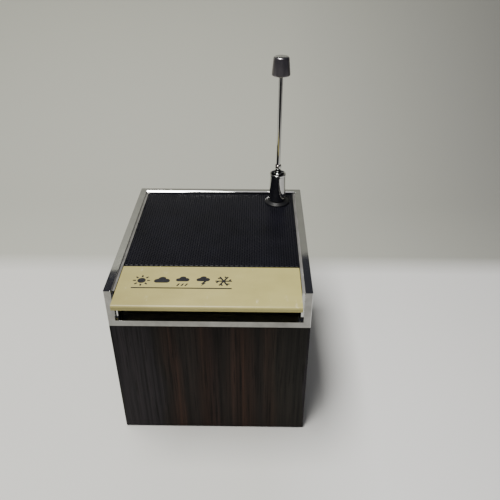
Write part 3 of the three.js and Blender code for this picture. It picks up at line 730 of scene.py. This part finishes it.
telescopic("antenna_outer_tube", "antenna_fixed_tube", "cabinet")
telescopic("antenna_lower_section", "antenna_lower_tube", "antenna_lower")
telescopic("antenna_middle_section", "antenna_middle_tube", "antenna_middle")
rod_low, rod_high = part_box("antenna_tip_rod")
rod_bottom, rod_top = rod_low[2] / MM, rod_high[2] / MM
tip_rod = turned("antenna_tip_wire", [(0, rod_bottom), (1.0, rod_bottom), (1.13, rod_bottom + 0.1),
                                      (1.13, rod_top), (0, rod_top)],
                 antenna, "antenna_tip", chrome, sides=40, closed=False)
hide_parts("antenna_tip_rod")

# %% [markdown]
# The cap is turned from two finishes: a dark plated skirt, and a bright domed disc let into its top.

# %% Antenna cap
cap_low, cap_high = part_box("antenna_tip_cap")
low, top = cap_low[2] / MM, cap_high[2] / MM
skirt = turned("antenna_cap_skirt", [
    (3.2, low), (4.5, low), (4.72, low + 0.12), (4.8, low + 0.4), (4.78, low + 0.8), (4.05, top - 1.1),
    (3.95, top - 0.72), (3.75, top - 0.5), (1.4, top - 0.6), (1.4, low + 6), (3.2, low + 6)],
    antenna, "antenna_tip", dark_plate)
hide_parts("antenna_tip_cap")
dome = [(3.72 * cos(a), top - 0.5 + 0.5 * sin(a)) for a in (pi / 2 * i / 8 for i in range(8))]
cap_disc = turned("antenna_cap_disc", [(0, top - 0.55), (3.72, top - 0.55)] + dome + [(0, top)], antenna,
                  "antenna_tip", chrome, closed=False)
print("antenna cap top", round(top, 1), "mm")

# %% [markdown]
# ## Controls at the back
# Two knurled wheels stand out through slots in the rear panel, next to the adapter jack. A small wedge
# beside one wheel and a two-headed arrow beside the other say volume and tuning without words.

# %% Thumbwheels, shafts, screws and nut
for node, body in (("tuning_thumbwheel", "tuning_wheel"), ("volume_thumbwheel", "volume_wheel")):
    wheel = rounded(node, 0.15 * MM, body, segments=2)
    wheel.data.materials.append(black_plastic)
fittings = (("tuning_shaft", "tuning_wheel", brass), ("volume_shaft", "volume_wheel", brass),
            ("tuning_wheel_screw", "tuning_wheel", steel), ("adapter_jack_nut", "cabinet", chrome))
for node, body, metal in fittings:
    turning = rounded(node, 0.12 * MM, body, segments=2)
    turning.data.materials.append(metal)

# %% [markdown]
# ## Signs beside the wheels
# The white print on the rear panel is made like the print on the bar, pushed out of the panel's face
# instead.

# %% Signs beside the wheels
white_ink = start_finish("white_print", (0.55, 0.55, 0.52), 0.5)
white_patches = cloudy(white_ink, (1200, 1200, 1200), detail=3.0)
paint(white_ink, tinted(white_ink, white_patches, [(0.3, (0.4, 0.4, 0.38)), (0.7, (0.6, 0.6, 0.57))]))
panel_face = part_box("rear_control_panel")[1][1]


def on_panel(points):
    return [(x * MM, panel_face + PRINT_GAP, z * MM) for x, z in points]


volume_sign = pushed_out("volume_wedge_sign", [on_panel([(-31, 55), (-18, 55), (-31, 57.6)])],
                         (0, PRINT, 0), "cabinet", white_ink)
arrows = [[(-6, 56.3), (-3.6, 57.7), (-3.6, 54.9)], [(14, 56.3), (11.6, 54.9), (11.6, 57.7)],
          [(-3.6, 56.05), (11.6, 56.05), (11.6, 56.55), (-3.6, 56.55)]]
tuning_sign = pushed_out("tuning_arrow_sign", [on_panel(arrow) for arrow in arrows],
                         (0, PRINT, 0), "cabinet", white_ink)

# %% [markdown]
# ## Underneath
# Four rubber feet and four screws. The copies keep the cross slots and only lose their sharp edges.

# %% Feet and screws
for end in ("front", "back"):
    for side in ("left", "right"):
        pad = rounded(f"foot_{end}_{side}", 0.2 * MM, "cabinet")
        pad.data.materials.append(rubber)
        screw = rounded(f"base_screw_{end}_{side}", 0.1 * MM, "cabinet", segments=2)
        screw.data.materials.append(steel)

# %% [markdown]
# ## Inside
# The working parts are out of sight in the closed cabinet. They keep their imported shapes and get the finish
# of what they are made of.

# %% Finish the inner parts
inner_finishes = {
    steel: ("touch_bar_pivot_rod", "speaker_basket", "board_screw_1", "board_screw_2", "board_screw_3",
            "board_screw_4"),
    can_tin: ("push_switch_body", "if_transformer_1", "if_transformer_2", "if_transformer_3", "crystal_can",
              "volume_control"),
    black_plastic: ("push_switch_plunger", "battery_snap"),
    brass: ("antenna_clip",),
    cone_paper: ("speaker_cone",),
    ferrite: ("speaker_magnet", "output_transformer"),
    laminate: ("circuit_board",),
    blue_sleeve: ("filter_capacitor", "coupling_capacitor"),
    ivory: ("tuning_capacitor",),
    battery_jacket: ("battery",),
    red_wire: ("battery_lead_red", "speaker_lead_red"),
    rubber: ("battery_lead_black", "speaker_lead_black"),
}
for inner_finish, nodes in inner_finishes.items():
    for node in nodes:
        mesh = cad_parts[node].data
        mesh.materials.clear()
        mesh.materials.append(inner_finish)
print("inner parts finished:", sum(len(nodes) for nodes in inner_finishes.values()))

# %% [markdown]
# ## The set
# The radio stands on a pale sweep of paper that rises behind it. The polished rails mirror that sweep, and
# above its top edge they mirror the dim room, which is why their front ends look dark. The sheet hangs a
# little askew, so the dark part starts further forward on the left rail. The paper's colour holds painted
# light and shade: a painted pool of light under the radio, brightest just to its right, and painted shade
# behind it, darker to the right and changing with height, which the rails and the sleeve pick up.

# %% Paper sweep
SWEEP_BACK, SWEEP_BEND, SWEEP_HALF = 0.36, 0.16, 1.6
SWEEP_TOP, SWEEP_LEAN = 0.354, 0.11


def make_sweep():
    sheet = bmesh.new()
    curve = [pi / 2 * i / 16 for i in range(17)]
    profile = [(-1.6, 0.0)]
    profile += [(SWEEP_BACK - SWEEP_BEND + SWEEP_BEND * sin(a), SWEEP_BEND - SWEEP_BEND * cos(a))
                for a in curve]
    rows = [[sheet.verts.new((x, y, z)) for y, z in profile + [(SWEEP_BACK, SWEEP_TOP - SWEEP_LEAN * x)]]
            for x in (-SWEEP_HALF, SWEEP_HALF)]
    for i in range(len(profile)):
        sheet.faces.new((rows[0][i], rows[1][i], rows[1][i + 1], rows[0][i + 1]))
    return sheet


def stage_piece(name, sheet, finish):
    mesh = bpy.data.meshes.new(name)
    sheet.to_mesh(mesh)
    sheet.free()
    mesh.materials.append(finish)
    mesh.shade_smooth()
    piece = bpy.data.objects.new(name, mesh)
    bpy.context.collection.objects.link(piece)
    return piece


paper = start_finish("pale_paper", (0.62, 0.62, 0.58), 0.85)
where = position(paper)
paper_patches = cloudy(paper, (6, 6, 6), detail=3.0)
clouds = tinted(paper, paper_patches, [(0.2, (0.95, 0.955, 0.95)), (0.8, (1.0, 1.0, 0.995))])
across = ranged(paper, where["X"], 0.0, 1.0, -0.2, 0.3)
# Painted light on the near paper: brighter to the right of the radio, brightest just beyond it.
painted_light_near = blended(paper, 1.0, clouds, tinted(paper, across, [
    (0.0, (0.67, 0.665, 0.64)), (0.45, (0.66, 0.66, 0.63)), (0.57, (0.8, 0.8, 0.79)),
    (1.0, (0.74, 0.73, 0.72))]), "MULTIPLY")
# Painted shade on the far paper: darker than the near tone, and darker again towards the right.
painted_shade_far = tinted(paper, across, [
    (0.0, (0.44, 0.445, 0.39)), (0.5, (0.445, 0.45, 0.395)), (1.0, (0.27, 0.27, 0.25))])
# Painted shade by height on the far paper: on the right it darkens higher up; on the left it darkens, then
# lightens at the top.
height = ranged(paper, where["Z"], 0.0, 1.0, 0.15, 0.37)
left_shade = tinted(paper, height, [(0.0, (1, 1, 1)), (0.5, (0.84, 0.84, 0.86)), (1.0, (1.1, 1.1, 1.12))])
right_shade = tinted(paper, height, [(0.0, (1, 1, 1)), (0.5, (0.78, 0.78, 0.8))])
shade = blended(paper, ranged(paper, where["X"], 0.0, 1.0, -0.1, 0.05), left_shade, right_shade)
painted_shade_far = blended(paper, 1.0, painted_shade_far, shade, "MULTIPLY")
paint(paper, blended(paper, ranged(paper, where["Y"], 0.0, 1.0, 0.095, 0.118), painted_light_near, painted_shade_far))
stage_piece("paper_sweep", make_sweep(), paper)

# %% [markdown]
# ## A flag for the reflections
# The antenna rod mirrors what lies in front of the radio, and that should look dark, though the paper there
# is pale. The sheet is left whole, so that it fills every view, and a black flag that only mirrors see lies
# on it: a painted dark reflection. It stops short of the front faces, which would go black from straight
# ahead if it reached them.

# %% Black flag
flag_finish = start_finish("dark_reflection_flag", (0.004, 0.004, 0.005), 1.0)
flag_patches = cloudy(flag_finish, (20, 20, 20))
paint(flag_finish, tinted(flag_finish, flag_patches, [
    (0.3, (0.003, 0.003, 0.004)), (0.7, (0.006, 0.006, 0.007))]))
flag_sheet = bmesh.new()
flag_sheet.faces.new([flag_sheet.verts.new((x, y, 0.0005)) for x, y in
                      ((-0.6, -0.5), (0.6, -0.5), (0.6, -0.19), (-0.6, -0.19))])
flag = stage_piece("dark_reflection_flag", flag_sheet, flag_finish)
# The flag is a painted dark reflection: the camera, diffuse light and shadows pass through it.
flag.visible_camera = False
flag.visible_diffuse = False
flag.visible_shadow = False

# %% [markdown]
# ## Light
# One soft light hangs overhead, in front and to the left, so that the shadow falls softly to the right. A
# weak strip beside it softens the edge of its reflection in the plating. A third, weak and wide, fills the
# shadow, and mirrors don't see it. A dim room is all around.

# %% Lights and room
def soft_light(name, place, aim, size, power, colour):
    lamp = bpy.data.lights.new(name, "AREA")
    lamp.shape = "RECTANGLE"
    lamp.size, lamp.size_y = size
    lamp.energy = power
    lamp.color = colour
    holder = bpy.data.objects.new(name, lamp)
    holder.location = place
    holder.rotation_euler = (Vector(aim) - Vector(place)).to_track_quat("-Z", "Y").to_euler()
    bpy.context.collection.objects.link(holder)
    return holder


WARM = (1.0, 0.985, 0.95)
soft_light("overhead_softbox", (-0.14, -0.17, 0.75), (-0.14, -0.1, 0.0), (0.2, 0.5), 9.7, WARM)
soft_light("overhead_softbox_edge", (0.04, -0.17, 0.75), (0.04, -0.1, 0.0), (0.16, 0.5), 0.35, WARM)
fill = soft_light("fill_softbox", (0.55, -0.45, 0.8), (0.1, 0.0, 0.0), (1.2, 1.2), 0.3, (0.97, 0.98, 1.0))
fill.visible_glossy = False
room = bpy.data.worlds.new("dim_room")
room.use_nodes = True
room.node_tree.nodes["Background"].inputs["Color"].default_value = (0.2, 0.2, 0.25, 1)
room.node_tree.nodes["Background"].inputs["Strength"].default_value = 0.28
bpy.context.scene.world = room

# %% [markdown]
# ## Camera
# The camera looks down at the radio from in front and slightly to the right, as one sees it on a shelf.

# %% Camera
lens = bpy.data.cameras.new("camera")
lens.sensor_width = 36
lens.lens = 40.467
lens.clip_start = 0.01
camera = bpy.data.objects.new("camera", lens)
camera.matrix_world = (Matrix.Translation((0.02182, -0.24728, 0.24709))
                       @ Matrix.Rotation(radians(0.81), 4, "Z")
                       @ Matrix.Rotation(radians(56.488), 4, "X") @ Matrix.Rotation(radians(0.096), 4, "Z"))
bpy.context.collection.objects.link(camera)
bpy.context.scene.camera = camera
